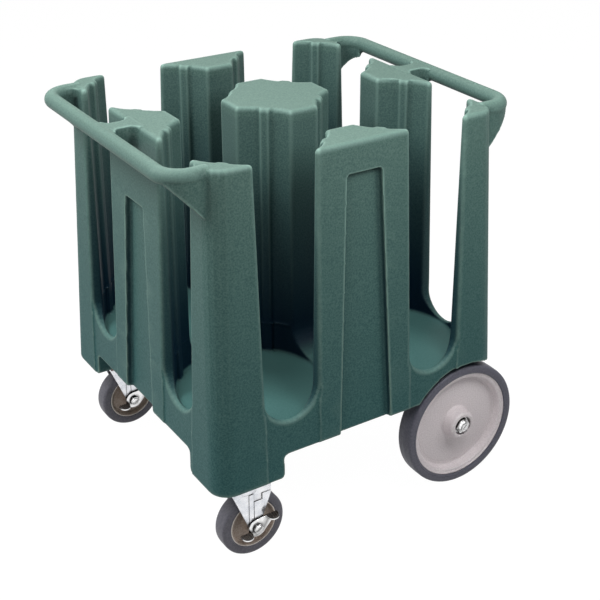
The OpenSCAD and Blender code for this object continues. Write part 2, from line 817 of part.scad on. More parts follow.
// Nut closed by a round cap
module caster_axle_nut(side) {
  hex_h = 5;
  shell = 1.5;
  color(chrome_colour) at_axle(side) translate([0, 0, rocker_in + rocker_t + near_gap]) difference() {
    union() {
      cylinder(h = hex_h, r = nut_r, $fn = 6);
      rotate_extrude($fn = 48) polygon(concat(
        [[0, 0], [bolt_r + shell, 0]],
        arc_points([bolt_r - shell, nut_reach - shell], 2 * shell, 0, 90),
        [[0, nut_reach + shell]]
      ));
    }
    translate([0, 0, -over]) cylinder(h = nut_reach + over, r = bolt_r + snug, $fn = 48);
  }
}

core_in = 1;
core_half = caster_w / 2 - core_in;
boss_gap = 1.5;

module caster_core(side) {
  web = 6;
  boss = 17;
  draft = 2;
  rim = 6;
  lip = 3;
  boss_half = leg_in - boss_gap;
  half = [
    [core_r, core_half], [core_r - lip, core_half], [core_r - rim, web],
    [boss + draft, web], [boss, boss_half], [bush_r, boss_half]
  ];
  color(core_colour) at_axle(side) rotate_extrude($fn = 96)
    polygon(concat(half, reversed([for (p = half) [p[0], -p[1]]])));
}

module caster_tyre(side) {
  half = caster_w / 2;
  shoulder = 6;
  lip = 2;
  color(tyre_colour) at_axle(side) rotate_extrude($fn = 96)
    polygon(concat(
      [[core_r, core_half], [core_r, -core_half], [core_r + lip, -half]],
      arc_points([caster_r - shoulder, shoulder - half], shoulder, 270, 360),
      arc_points([caster_r - shoulder, half - shoulder], shoulder, 0, 90),
      [[core_r + lip, half]]
    ));
}

module caster_bush(side) {
  color(steel_colour) at_axle(side) difference() {
    cylinder(h = 2 * (leg_in - near_gap), r = bush_r, center = true, $fn = 48);
    cylinder(h = 4 * leg_in, r = bolt_r + run_gap, center = true, $fn = 48);
  }
}

// Brake rocker: a pressed plate on the bolt with a tab bent out at each end.
// A tab is [inner end, height of its top, outer end], from the bolt's axis.
tab_t = 3;
tab_reach = 17;
low_tab = [-13, -6, -35];
high_tab = [18, 20, 40];

// Plan of a tab, drawn in by inset: two straight sides and a round outer end
module tab_plan(t, inset) {
  r = abs(t[2] - t[0]) / 2 - inset;
  middle = (t[0] + t[2]) / 2;
  start = inset > 0 ? rocker_t + inset : 0;
  polygon(concat(
    [[middle - r, start], [middle + r, start]],
    arc_points([middle, rocker_t + tab_reach - inset - r], r, 0, 180, 12)
  ));
}

// A tab's plan as a slab from bottom up
module tab_slab(t, inset, bottom, height) {
  translate([0, bottom + height, 0]) rotate([90, 0, 0])
    linear_extrude(height = height) tab_plan(t, inset);
}

module brake_rocker(side) {
  hub = 18;
  color(zinc_colour) at_rocker(side) difference() {
    union() {
      cylinder(h = rocker_t, r = hub, $fn = 64);
      for (t = [low_tab, high_tab]) {
        a = atan2(t[1], t[2]);
        b = t[2] > 0 ? 60 : -60;
        linear_extrude(height = rocker_t) polygon([
          [t[0], t[1]], [t[2], t[1]], [t[2], t[1] - tab_t],
          hub * [cos(a - b), sin(a - b)], hub * [cos(a + b), sin(a + b)]
        ]);
        tab_slab(t, 0, t[1] - tab_t, tab_t);
      }
    }
    translate([0, 0, -over]) cylinder(h = rocker_t + 2 * over, r = bolt_r + run_gap, $fn = 48);
  }
}

// Ribbed pads on the tabs
module brake_pads(side) {
  rim = 1;
  base = 2.5;
  ribs = 5;
  rib = 2;
  proud = 1.5;
  color(pad_colour) at_rocker(side) for (t = [low_tab, high_tab]) {
    length = abs(t[2] - t[0]) - 2 * rim;
    tab_slab(t, rim, t[1], base);
    intersection() {
      tab_slab(t, rim, t[1], base + proud);
      for (i = [0:ribs - 1])
        translate([min(t[0], t[2]) + rim + i * (length - rib) / (ribs - 1), t[1], rocker_t])
          cube([rib, base + proud, tab_reach]);
    }
  }
}

// Thin plate on the leg that holds the rocker in either position
module brake_detent(side) {
  edge = 2;
  step_x = 27;
  step_z = 22;
  gap = 1;
  left = bead_w + gap;
  low = caster_r + bush_r;
  color(steel_colour) at_caster(side) translate([0, -leg_out, 0])
    rotate([90, 0, 0]) linear_extrude(height = detent_t) polygon([
      [left, low], [left, crown_z - step_z], [step_x, crown_z - step_z],
      [step_x, crown_z - step_z + leg_fall], [fork_aft - edge, crown_z - step_z + leg_fall],
      [fork_aft - edge, crown_z - leg_fall], [trail + waist_x, caster_r + waist_z + edge],
      [trail + bush_r, low]
    ]);
}

lower_body();
centre_tower();
corner_tower(-1, -1);  // corner_tower_1
corner_tower(1, -1);  // corner_tower_2
corner_tower(1, 1);  // corner_tower_3
corner_tower(-1, 1);  // corner_tower_4
middle_tower(180, true);  // side_tower_near
middle_tower(0, true);  // side_tower_far
middle_tower(90, false);  // end_tower_caster
middle_tower(-90, false);  // end_tower_wheel
rail(0);  // rail_caster_end
rail(1);  // rail_wheel_end
axle();
axle_hanger(0);  // axle_hanger_near
axle_hanger(1);  // axle_hanger_far
hanger_bolts();
axle_collar(0);  // axle_collar_near
axle_collar(1);  // axle_collar_far
wheel_tyre(0);  // wheel_tyre_near
wheel_hub(0);  // wheel_hub_near
wheel_bearing(0);  // wheel_bearing_near
wheel_washer(0);  // wheel_washer_near
wheel_cap(0);  // wheel_cap_near
wheel_tyre(1);  // wheel_tyre_far
wheel_hub(1);  // wheel_hub_far
wheel_bearing(1);  // wheel_bearing_far
wheel_washer(1);  // wheel_washer_far
wheel_cap(1);  // wheel_cap_far
caster_plate(0);  // caster_plate_near
caster_bolts(0);  // caster_bolts_near
caster_race(0);  // caster_race_near
caster_kingpin(0);  // caster_kingpin_near
caster_fork(0);  // caster_fork_near
caster_axle_bolt(0);  // caster_axle_bolt_near
caster_axle_nut(0);  // caster_axle_nut_near
caster_core(0);  // caster_core_near
caster_tyre(0);  // caster_tyre_near
caster_bush(0);  // caster_bush_near
brake_rocker(0);  // brake_rocker_near
brake_pads(0);  // brake_pads_near
brake_detent(0);  // brake_detent_near
caster_plate(1);  // caster_plate_far
caster_bolts(1);  // caster_bolts_far
caster_race(1);  // caster_race_far
caster_kingpin(1);  // caster_kingpin_far
caster_fork(1);  // caster_fork_far
caster_axle_bolt(1);  // caster_axle_bolt_far
caster_axle_nut(1);  // caster_axle_nut_far
caster_core(1);  // caster_core_far
caster_tyre(1);  // caster_tyre_far
caster_bush(1);  // caster_bush_far
brake_rocker(1);  // brake_rocker_far
brake_pads(1);  // brake_pads_far
brake_detent(1);  // brake_detent_far
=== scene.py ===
# %% [markdown]
# # A four-well plate cart
#
# A plate cart is one big hollow moulding with nine towers round four round
# wells. It has a hand rail at each end, two large fixed wheels on an axle at
# one end and two braked casters at the other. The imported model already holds
# every piece at its true size, so this lesson dresses it: the moulding gets
# soft edges, the wheels and casters get their fine forms, and each surface
# gets a finish made of nodes. Lengths are in metres, but for the profiles of
# turned pieces. +Z is up and the wheels stand on z = 0.

import json
import math

import bpy
from mathutils import Matrix, Vector


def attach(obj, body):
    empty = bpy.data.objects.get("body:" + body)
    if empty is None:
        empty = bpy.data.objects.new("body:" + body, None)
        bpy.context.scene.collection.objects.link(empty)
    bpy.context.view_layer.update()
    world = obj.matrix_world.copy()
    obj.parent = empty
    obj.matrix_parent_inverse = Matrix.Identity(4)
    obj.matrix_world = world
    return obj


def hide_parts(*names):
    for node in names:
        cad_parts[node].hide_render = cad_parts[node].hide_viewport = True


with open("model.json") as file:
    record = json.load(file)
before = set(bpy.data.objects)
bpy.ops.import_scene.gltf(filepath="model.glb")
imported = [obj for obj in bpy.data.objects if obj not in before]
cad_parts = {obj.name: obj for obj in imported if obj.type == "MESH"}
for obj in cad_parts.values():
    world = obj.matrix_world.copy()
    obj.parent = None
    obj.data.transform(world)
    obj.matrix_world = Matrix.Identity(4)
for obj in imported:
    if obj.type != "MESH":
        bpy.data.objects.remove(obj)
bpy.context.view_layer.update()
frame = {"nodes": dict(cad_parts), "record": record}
record = frame["record"]
joint_at = {joint["name"]: Vector(joint["pos_m"]) for joint in record["behaviour"]["joints"]}

# %% [markdown]
# ## The camera
#
# The camera stands 2.7 m from the cart's foot, off the corner between the long
# side and the caster end, and looks down at 23 degrees. A lens can be matched
# to a picture from the directions of the object's straight edges: here that
# gives a lens of 75 mm on a 36 mm sensor. The picture was cropped, so the lens
# axis doesn't pass through its middle, and a small shift puts it where it was.
# The three angles are turned into a look direction and two directions across
# it, which are the columns of the camera's matrix.

# %% Camera
IMAGE_SIDE = 600
SENSOR = 36
FAR_ENOUGH = 50
eye = Vector((-1.1382, -1.8877, 1.4893))
yaw, pitch, roll = 0.5887, -0.4024, 0.0061
focal_px = 1251.6
axis_px = (329.7, 200.3)

look = Vector(
    (math.sin(yaw) * math.cos(pitch), math.cos(yaw) * math.cos(pitch), math.sin(pitch))
)
level = look.cross(Vector((0, 0, 1))).normalized()
upright = level.cross(look)
right = math.cos(roll) * level + math.sin(roll) * upright
up = -math.sin(roll) * level + math.cos(roll) * upright

camera_data = bpy.data.cameras.new("camera")
camera_data.sensor_width = SENSOR
camera_data.lens = focal_px / IMAGE_SIDE * SENSOR
camera_data.shift_x = (IMAGE_SIDE / 2 - axis_px[0]) / IMAGE_SIDE
camera_data.shift_y = (axis_px[1] - IMAGE_SIDE / 2) / IMAGE_SIDE
camera_data.clip_end = FAR_ENOUGH
camera = bpy.data.objects.new("camera", camera_data)
bpy.context.scene.collection.objects.link(camera)
turn = Matrix((right, up, -look)).transposed()
camera.matrix_world = Matrix.Translation(eye) @ turn.to_4x4()
bpy.context.scene.camera = camera
bpy.context.scene.view_settings.view_transform = "Standard"
shift = (round(camera_data.shift_x, 4), round(camera_data.shift_y, 4))
print("lens", round(camera_data.lens, 2), "shift", shift)

# %% [markdown]
# ## The light
#
# A catalogue picture like this is lit from above. Two big lamps overhead, one
# of them behind the cart, make the tower tops lightest. The other soft boxes hang
# off the long side and the caster end, higher than the cart, so each wall gets
# darker towards the floor and the wells stay deep in shade. The world adds only
# a little, and the background is white only for rays that come from the camera
# or pass by way of a shiny or clear surface. The Light Path node tells these
# rays apart, and since its outputs are 0 or 1, the largest of three says whether
# any of them holds.

# %% World
def seen_directly(nodes, links):
    """1 for rays from the camera, off a shiny surface or through a clear one, else 0."""
    path = nodes.new("ShaderNodeLightPath")
    answer = path.outputs["Is Camera Ray"]
    for kind in ("Is Glossy Ray", "Is Transmission Ray"):
        either = nodes.new("ShaderNodeMath")
        either.operation = "MAXIMUM"
        links.new(answer, either.inputs[0])
        links.new(path.outputs[kind], either.inputs[1])
        answer = either.outputs[0]
    return answer


BACKGROUND_WHITE = 1.0
WORLD_LIGHT = 0.04
world = bpy.data.worlds.new("studio")
bpy.context.scene.world = world
world.use_nodes = True
nodes, links = world.node_tree.nodes, world.node_tree.links
nodes.clear()
out = nodes.new("ShaderNodeOutputWorld")
seen = nodes.new("ShaderNodeBackground")
seen.inputs["Color"].default_value = (1, 1, 1, 1)
seen.inputs["Strength"].default_value = BACKGROUND_WHITE
lighting = nodes.new("ShaderNodeBackground")
lighting.inputs["Color"].default_value = (0.96, 0.98, 1.0, 1)
lighting.inputs["Strength"].default_value = WORLD_LIGHT
pick = nodes.new("ShaderNodeMixShader")
links.new(seen_directly(nodes, links), pick.inputs["Fac"])
links.new(lighting.outputs[0], pick.inputs[1])
links.new(seen.outputs[0], pick.inputs[2])
links.new(pick.outputs[0], out.inputs["Surface"])
print("world", world.name)

# %% [markdown]
# Each lamp is a square soft box. It is given a place, a point to face, the
# length of its side and its power in watts. The power that a surface gets falls
# with the square of the distance, so the small low lamps near the cart do a lot
# with a few watts. The long side gets two dim lamps. The caster end gets two
# strong ones and a small low one, so that the near corner splits a light face
# from a darker one.

# %% Lamps
def area_lamp(name, place, aim, size, power):
    """A square soft lamp at place, turned towards aim."""
    data = bpy.data.lights.new(name, "AREA")
    data.shape = "SQUARE"
    data.size = size
    data.energy = power
    lamp = bpy.data.objects.new(name, data)
    bpy.context.scene.collection.objects.link(lamp)
    lamp.location = place
    lamp.rotation_euler = (Vector(aim) - Vector(place)).to_track_quat("-Z", "Y").to_euler()
    return lamp


middle = (0, 0, 0.45)
tower_tops = (0, 0, 0.7)
area_lamp("overhead", (0.0, 0.0, 2.6), tower_tops, 1.0, 24)
area_lamp("overhead_back", (0.3, 1.3, 2.4), tower_tops, 1.0, 16)
area_lamp("caster_end_high", (-1.2, 0.3, 1.9), middle, 0.6, 23)
area_lamp("caster_end_back", (-1.5, 1.2, 1.9), middle, 1.0, 15)
area_lamp("caster_end_low", (-1.1, -0.7, 1.1), middle, 0.5, 3.4)
area_lamp("long_side", (0.1, -0.85, 1.3), (0, -0.2, 0.5), 0.4, 6.2)
area_lamp("wheel_end", (0.9, -1.1, 1.3), (0.2, -0.1, 0.4), 0.5, 4.8)

# %% [markdown]
# ## The floor
#
# The floor is a pale sheet. To the camera it is mostly the white of the
# background, with a share of its real shading left in, so the wheels keep
# their soft shadow and the object doesn't seem to float.

# %% Floor
FLOOR_SIDE = 12
JUST_UNDER = -0.0004
FLOOR_GREY = 0.5
FLOOR_GLOW = 1.09
GLOW_SHARE = 0.91
bpy.ops.object.select_all(action="DESELECT")
bpy.ops.mesh.primitive_plane_add(size=FLOOR_SIDE, location=(0, 0, JUST_UNDER))
floor = bpy.context.object
floor.name = "floor"
paint = bpy.data.materials.new("floor_paint")
paint.use_nodes = True
nodes, links = paint.node_tree.nodes, paint.node_tree.links
nodes.clear()
out = nodes.new("ShaderNodeOutputMaterial")
matt = nodes.new("ShaderNodeBsdfDiffuse")
matt.inputs["Color"].default_value = (FLOOR_GREY, FLOOR_GREY, FLOOR_GREY, 1)
glow = nodes.new("ShaderNodeEmission")
glow.inputs["Color"].default_value = (1, 1, 1, 1)
glow.inputs["Strength"].default_value = FLOOR_GLOW
share = nodes.new("ShaderNodeMath")
share.operation = "MULTIPLY"
share.inputs[1].default_value = GLOW_SHARE
pick = nodes.new("ShaderNodeMixShader")
links.new(seen_directly(nodes, links), share.inputs[0])
links.new(share.outputs[0], pick.inputs["Fac"])
links.new(matt.outputs[0], pick.inputs[1])
links.new(glow.outputs[0], pick.inputs[2])
links.new(pick.outputs[0], out.inputs["Surface"])
floor.data.materials.append(paint)
print("floor", tuple(floor.dimensions))

# %% [markdown]
# ## Finishes
#
# Every finish starts from one helper: a Principled shader with its colour,
# roughness and metal share set on its own sockets. Fine relief comes from a
# noise through a Bump node, in Object coordinates, so it has a real size and
# stays on the surface when a wheel turns.

# %% Colours and shaders
def srgb(r, g, b):
    """A colour read off a screen, 0 to 255, as the linear colour that a shader takes."""
    def linear(v):
        v /= 255
        return v / 12.92 if v <= 0.04045 else ((v + 0.055) / 1.055) ** 2.4

    return (linear(r), linear(g), linear(b), 1)


def grey(v):
    """A neutral colour of v, from 0 to 1."""
    return (v, v, v, 1)


def finish(name, colour, rough, metal=0.0):
    """A new material with a Principled shader, and the shader itself."""
    material = bpy.data.materials.new(name)
    material.use_nodes = True
    shader = material.node_tree.nodes["Principled BSDF"]
    shader.inputs["Base Color"].default_value = colour
    shader.inputs["Roughness"].default_value = rough
    shader.inputs["Metallic"].default_value = metal
    return material, shader


def noise(material, scale, detail=2.0, stretch=(1, 1, 1)):
    """A noise texture in Object coordinates, with scale features to the metre."""
    nodes, links = material.node_tree.nodes, material.node_tree.links
    where = nodes.new("ShaderNodeTexCoord")
    place = nodes.new("ShaderNodeMapping")
    place.inputs["Scale"].default_value = stretch
    texture = nodes.new("ShaderNodeTexNoise")
    texture.inputs["Scale"].default_value = scale
    texture.inputs["Detail"].default_value = detail
    links.new(where.outputs["Object"], place.inputs["Vector"])
    links.new(place.outputs["Vector"], texture.inputs["Vector"])
    return texture


def ramp(material, source, low, high, at=(0.35, 0.65)):
    """Turns a noise's value into a colour between low and high."""
    nodes, links = material.node_tree.nodes, material.node_tree.links
    node = nodes.new("ShaderNodeValToRGB")
    node.color_ramp.elements[0].position, node.color_ramp.elements[1].position = at
    node.color_ramp.elements[0].color, node.color_ramp.elements[1].color = low, high
    links.new(source.outputs["Fac"], node.inputs["Fac"])
    return node


def relief(material, shader, source, height, strength=1.0, under=None):
    """Lets a noise raise the surface by height metres, over an earlier relief if given."""
    nodes, links = material.node_tree.nodes, material.node_tree.links
    node = nodes.new("ShaderNodeBump")
    node.inputs["Distance"].default_value = height
    node.inputs["Strength"].default_value = strength
    links.new(source.outputs["Fac"], node.inputs["Height"])
    if under:
        links.new(under.outputs["Normal"], node.inputs["Normal"])
    links.new(node.outputs["Normal"], shader.inputs["Normal"])
    return node


print("white is", srgb(255, 255, 255))

# %% [markdown]
# A finish here is seldom one flat colour. It changes with height, with which
# way a face points, and in corners and on edges, and most of these changes are
# painted light and shade. Each is a value from 0 to 1 that mixes two colours, so
# the next helpers make such values: scaled turns any measure into one, crevice
# comes from ambient occlusion and places painted shade, edges comes from how
# pointed the mesh is and places painted highlights, and a last one gives a
# painted reflection from how far the surface turns from the viewer.

# %% Values and mixes
def scaled(material, source, low, high, to_low=0.0, to_high=1.0):
    """A value that goes from to_low to to_high as source goes from low to high."""
    nodes, links = material.node_tree.nodes, material.node_tree.links
    node = nodes.new("ShaderNodeMapRange")
    node.inputs["From Min"].default_value = low
    node.inputs["From Max"].default_value = high
    node.inputs["To Min"].default_value = to_low
    node.inputs["To Max"].default_value = to_high
    links.new(source, node.inputs["Value"])
    return node.outputs[0]


def mixed(material, factor, first, second, blend="MIX"):
    """Mixes two colours, each a colour or a socket, by a factor socket or number."""
    nodes, links = material.node_tree.nodes, material.node_tree.links
    node = nodes.new("ShaderNodeMix")
    node.data_type = "RGBA"
    node.blend_type = blend
    for index, value in ((0, factor), (6, first), (7, second)):
        if isinstance(value, (tuple, float, int)):
            node.inputs[index].default_value = value
        else:
            links.new(value, node.inputs[index])
    return node.outputs[2]


def reckoned(material, operation, first, second):
    """One sum of two sockets, such as MULTIPLY or MAXIMUM."""
    nodes, links = material.node_tree.nodes, material.node_tree.links
    node = nodes.new("ShaderNodeMath")
    node.operation = operation
    links.new(first, node.inputs[0])
    links.new(second, node.inputs[1])
    return node.outputs[0]


def axes(material, output):
    """The X, Y and Z of a Texture Coordinate output, such as Object or Normal."""
    nodes, links = material.node_tree.nodes, material.node_tree.links
    where = nodes.new("ShaderNodeTexCoord")
    split = nodes.new("ShaderNodeSeparateXYZ")
    links.new(where.outputs[output], split.inputs[0])
    return split.outputs


OCCLUSION_RAYS = 8


def crevice(material, reach, low=0.45, high=0.9, own=False):
    """0 deep in a corner or gap narrower than reach, 1 on open surface.

    With own, the other pieces are left out.
    """
    node = material.node_tree.nodes.new("ShaderNodeAmbientOcclusion")
    node.inputs["Distance"].default_value = reach
    node.only_local = own
    node.samples = OCCLUSION_RAYS
    return scaled(material, node.outputs["AO"], low, high)


def reflection_bands(material, *stops):
    """Painted reflection: greys that follow how far a surface turns from the viewer, as gloss
    does.

    Each stop is (turn, grey), and turn goes from 0, facing the viewer, to 1.
    """
    nodes, links = material.node_tree.nodes, material.node_tree.links
    turn = nodes.new("ShaderNodeLayerWeight")
    turn.inputs["Blend"].default_value = 0.5
    node = nodes.new("ShaderNodeValToRGB")
    row = node.color_ramp.elements
    for k, (at, tone) in enumerate(stops):
        stop = row[k] if k < 2 else row.new(at)
        stop.position, stop.color = at, grey(tone)
    links.new(turn.outputs["Facing"], node.inputs["Fac"])
    return node.outputs["Color"]


def edges(material, low, high):
    """0 on flat surface, 1 on an outer edge, where a painted highlight goes."""
    node = material.node_tree.nodes.new("ShaderNodeNewGeometry")
    return scaled(material, node.outputs["Pointiness"], low, high)


print("values and mixes ready")

# %% [markdown]
# The moulding is polyethylene, coloured through, with a fine orange peel from
# the mould. Its colour also carries painted light and shade: it is painted deep
# green low down and paler and greyer higher up, darker towards the bottom, and
# the tower tops get a paler painted sheen. Edges get a painted highlight and the
# inner corners a painted shade. The deep wells see little light, so their walls
# are painted towards a blue-black as occlusion says, apart from their upper part
# and their floors. The finish is mixed step by step, from a speckle of two close
# tones at each height up to the painted corner shade.

# %% Moulded plastic
FOOT_Z, SHOULDER_Z, TOP_Z = 0.15, 0.70, 0.75
FLOOR_TOP_Z = 0.28
WELL_REACH, CORNER_REACH = 0.6, 0.012
SPECKLES, PEEL, WAVES = 330, 520, 55
PEEL_DEPTH = 0.0004
SPREAD = (0.32, 0.68)
LEANS_UP, FACES_UP = 0.25, 0.95
WELL_SHADE_FADES_FROM_Z, WELL_SHADE_FADES_TO_Z = 0.34, 0.66
EDGE_HIGHLIGHT_FROM, EDGE_HIGHLIGHT_TO = 0.503, 0.54
moulding, shader = finish("moulded_plastic", srgb(56, 94, 91), 0.55)
shader.inputs["Specular IOR Level"].default_value = 0.15
speckle = noise(moulding, SPECKLES)
# Painted shade: the walls are darker and greener towards the bottom, paler higher up.
low_down = ramp(moulding, speckle, srgb(34, 78, 79), srgb(58, 98, 97), SPREAD)
high_up = ramp(moulding, speckle, srgb(62, 88, 83), srgb(82, 107, 100), SPREAD)
# Painted sheen: upward faces near the tower tops are paler.
top_sheen_tones = ramp(moulding, speckle, srgb(74, 98, 90), srgb(88, 112, 103), SPREAD)
place, facing = axes(moulding, "Object"), axes(moulding, "Normal")
rising = scaled(moulding, place["Z"], FOOT_Z, TOP_Z - 0.01)
walls = mixed(moulding, rising, low_down.outputs["Color"], high_up.outputs["Color"])
near_top = scaled(moulding, place["Z"], SHOULDER_Z, TOP_Z)
facing_up = scaled(moulding, facing["Z"], LEANS_UP, FACES_UP)
top_sheen_mask = reckoned(moulding, "MULTIPLY", near_top, facing_up)
with_painted_top_sheen = mixed(moulding, top_sheen_mask, walls, top_sheen_tones.outputs["Color"])
# Painted highlight: outer edges are lighter.
edge_highlight_mask = edges(moulding, EDGE_HIGHLIGHT_FROM, EDGE_HIGHLIGHT_TO)
with_painted_edge_highlight = mixed(moulding, edge_highlight_mask, with_painted_top_sheen, srgb(112, 140, 131))
# Painted shade: occluded walls deep in the wells go blue-black, but not the floors nor the
# upper walls.
low_down_only = scaled(moulding, place["Z"], FLOOR_TOP_Z, FLOOR_TOP_Z + 0.02, 1, 0)
low_face = reckoned(moulding, "MULTIPLY", facing_up, low_down_only)
painted_well_shade = mixed(moulding, low_face, srgb(0, 26, 46), srgb(65, 101, 98))
upper_walls = scaled(moulding, place["Z"], WELL_SHADE_FADES_FROM_Z, WELL_SHADE_FADES_TO_Z, 0, 0.85)
half_way = reckoned(moulding, "MAXIMUM", upper_walls, near_top)
open_air = crevice(moulding, WELL_REACH, 0.3, 0.82, own=True)
reached = reckoned(moulding, "MAXIMUM", open_air, half_way)
with_painted_well_shade = mixed(moulding, reached, painted_well_shade, with_painted_edge_highlight)
# Painted shade in inner corners, where occlusion finds them.
with_painted_corner_shade = mixed(moulding, crevice(moulding, CORNER_REACH), srgb(10, 38, 44), with_painted_well_shade)
moulding.node_tree.links.new(with_painted_corner_shade, shader.inputs["Base Color"])
waves = relief(moulding, shader, noise(moulding, WAVES, 1), PEEL_DEPTH, 0.25)
relief(moulding, shader, noise(moulding, PEEL), PEEL_DEPTH, 0.6, waves)
print(moulding.name)

# %% [markdown]
# The tyres are solid grey rubber, matt, with a bluish bloom. Both hubs are
# nylon: the large ones pale grey, the casters' cores brown-grey. Their fine
# speckle comes from a ramp between two close tones. A painted shade from the
# helper for inner corners keeps the steps of a hub and of a core readable in
# flat light, and the large hubs get a painted highlight on their edges.

# %% Speckled rubber
def speckled(name, low, high, rough, fine, grain, height):
    """A finish whose colour wanders between two close tones over a fine relief."""
    material, shader = finish(name, high, rough)
    tint = ramp(material, noise(material, fine, 3), low, high)
    material.node_tree.links.new(tint.outputs["Color"], shader.inputs["Base Color"])
    relief(material, shader, noise(material, grain), height, 0.4)
    return material, shader, tint.outputs["Color"]


wheel_rubber = speckled(
    "wheel_rubber", srgb(73, 73, 85), srgb(89, 89, 101), 0.55, 260, 900, 0.0002
)[0]
caster_rubber = speckled(
    "caster_rubber", srgb(78, 77, 86), srgb(94, 93, 102), 0.5, 260, 900, 0.0002
)[0]
pad_rubber = speckled(
    "pad_rubber", srgb(20, 18, 18), srgb(74, 66, 60), 0.6, 520, 600, 0.0004
)[0]
print("rubber ready")

# %% Nylon
hub_nylon, shader, tint = speckled(
    "hub_nylon", srgb(216, 207, 209), srgb(232, 224, 226), 0.42, 350, 800, 0.00015
)
# Painted highlight on the hub's outer edges.
hub_edge_highlighted = mixed(hub_nylon, edges(hub_nylon, 0.53, 0.62), tint, srgb(246, 242, 240))
# Painted shade in the hub's inner corners.
in_steps = crevice(hub_nylon, 0.010, 0.35, 0.8)
stepped = mixed(hub_nylon, in_steps, srgb(150, 139, 141), hub_edge_highlighted)
hub_nylon.node_tree.links.new(stepped, shader.inputs["Base Color"])
core_nylon, shader, tint = speckled(
    "core_nylon", srgb(148, 131, 118), srgb(174, 158, 145), 0.45, 300, 700, 0.00015
)
# Painted shade in the core's inner corners.
in_steps = crevice(core_nylon, 0.006, 0.1, 0.8)
stepped = mixed(core_nylon, in_steps, srgb(92, 68, 48), tint)
core_nylon.node_tree.links.new(stepped, shader.inputs["Base Color"])
core_edge = speckled(
    "core_edge", srgb(222, 213, 203), srgb(238, 231, 222), 0.4, 500, 900, 0.0001
)[0]
print("nylon ready")

# %% [markdown]
# The metals stand in a white room, so a plain mirror of it would look like
# white paint. What tells the eye that they are metal is the dark side of a
# studio, which chrome shows in some of its faces and not in others. So chrome
# gets a painted reflection: light and dark tones that follow how far it turns
# from the viewer. Pressed zinc keeps a soft light grey, with painted shade in
# its creases and where it meets other pieces. One helper makes all the metals,
# from a tone, a painted shade for the creases, an uneven roughness and a faint
# relief. A metal can do without the painted shade or the uneven roughness, as
# the raceway's does.

# %% Metals
def metal(name, colour, rough, share, toned, crease, worn, waves):
    """A metal finish.

    toned makes the tone's socket for a material. The crease entry, a painted
    shade in creases, is (reach, low, high, colour of the shade), worn is (scale,
    detail, stretch, low, high) of the roughness and waves is (scale, detail,
    stretch, height, strength) of the relief.
    """
    material, shader = finish(name, colour, rough, share)
    links = material.node_tree.links
    tone = toned(material)
    # Painted shade: the tone darkens in creases and where pieces meet.
    if crease:
        reach, low, high, dark = crease
        tone = mixed(material, crevice(material, reach, low, high), dark, tone)
    links.new(tone, shader.inputs["Base Color"])
    if worn:
        scale, detail, stretch, low, high = worn
        uneven = ramp(material, noise(material, scale, detail, stretch), grey(low), grey(high))
        links.new(uneven.outputs["Color"], shader.inputs["Roughness"])
    scale, detail, stretch, height, strength = waves
    relief(material, shader, noise(material, scale, detail, stretch), height, strength)
    return material


def clouds(scale, low, high):
    """A tone that wanders between two colours."""
    def toned(material):
        return ramp(material, noise(material, scale, 3), low, high).outputs["Color"]

    return toned


EVENLY = (1, 1, 1)
ALONG_THE_LATHE = (1, 30, 1)
race_steel = metal(
    "race_steel", srgb(150, 92, 58), 0.42, 0.35,
    clouds(200, srgb(112, 66, 40), srgb(172, 116, 78)),
    None, None, (500, 2, EVENLY, 0.0002, 0.3),
)
# Turned steel and bright zinc get a painted shade in their creases.
turned_steel = metal(
    "turned_steel", srgb(176, 178, 182), 0.34, 0.95,
    clouds(45, srgb(158, 160, 165), srgb(190, 192, 196)),
    (0.005, 0.45, 0.9, srgb(44, 40, 38)),
    (30, 4, ALONG_THE_LATHE, 0.26, 0.42), (60, 3, ALONG_THE_LATHE, 0.0001, 0.2),
)
bright_zinc = metal(
    "bright_zinc", srgb(232, 234, 238), 0.3, 0.9,
    clouds(60, srgb(218, 221, 227), srgb(244, 245, 248)),
    (0.006, 0.62, 0.97, srgb(40, 34, 32)),
    (140, 4, EVENLY, 0.22, 0.36), (400, 2, EVENLY, 0.00012, 0.25),
)
print("steel and zinc ready")

# %% Chrome
# Chrome: painted reflection bands by how far it turns from the viewer, and painted shade in
# its creases.
chrome = metal(
    "chrome_plate", srgb(226, 229, 234), 0.12, 1.0,
    lambda material: reflection_bands(
        material, (0.0, 0.82), (0.16, 0.9), (0.3, 0.10), (0.42, 0.75),
        (0.55, 0.06), (0.75, 0.8), (0.95, 0.2),
    ),
    (0.004, 0.4, 0.85, grey(0.02)),
    (90, 3, EVENLY, 0.10, 0.2), (220, 2, EVENLY, 0.0001, 0.15),
)
# Pressed chrome: painted reflection bands and painted shade in its creases.
pressed_chrome = metal(
    "pressed_chrome", srgb(232, 235, 240), 0.18, 1.0,
    lambda material: reflection_bands(
        material, (0.0, 0.9), (0.3, 0.84), (0.42, 0.3), (0.52, 0.88), (0.7, 0.25), (0.85, 0.8),
    ),
    (0.007, 0.6, 0.97, grey(0.015)),
    (120, 3, EVENLY, 0.14, 0.26), (300, 2, EVENLY, 0.0001, 0.2),
)
print("chrome ready")

# %% [markdown]
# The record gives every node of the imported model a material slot. A table from
# slots to finishes dresses them all at once. Most nodes are replaced by a finer
# piece further down, which takes its finish from the same table. Only the brake
# rockers and the light line round a caster's core have finishes of their own.

# %% Finishes by slot
FINISH = {
    "moulding": moulding,
    "wheel_tyre": wheel_rubber,
    "wheel_hub": hub_nylon,
    "caster_tyre": caster_rubber,
    "caster_core": core_nylon,
    "race": race_steel,
    "brake_pad": pad_rubber,
    "chrome": chrome,
    "bright_zinc": bright_zinc,
    "steel": turned_steel,
}
slot_of = {part["node"]: part["material_slot"] for part in record["subparts"]}
for name, node in frame["nodes"].items():
    slot_name = slot_of.get(name)
    if slot_name:
        node.data.materials.clear()
        node.data.materials.append(FINISH[slot_name])
print("dressed", len(slot_of), "nodes in", len(FINISH), "finishes")

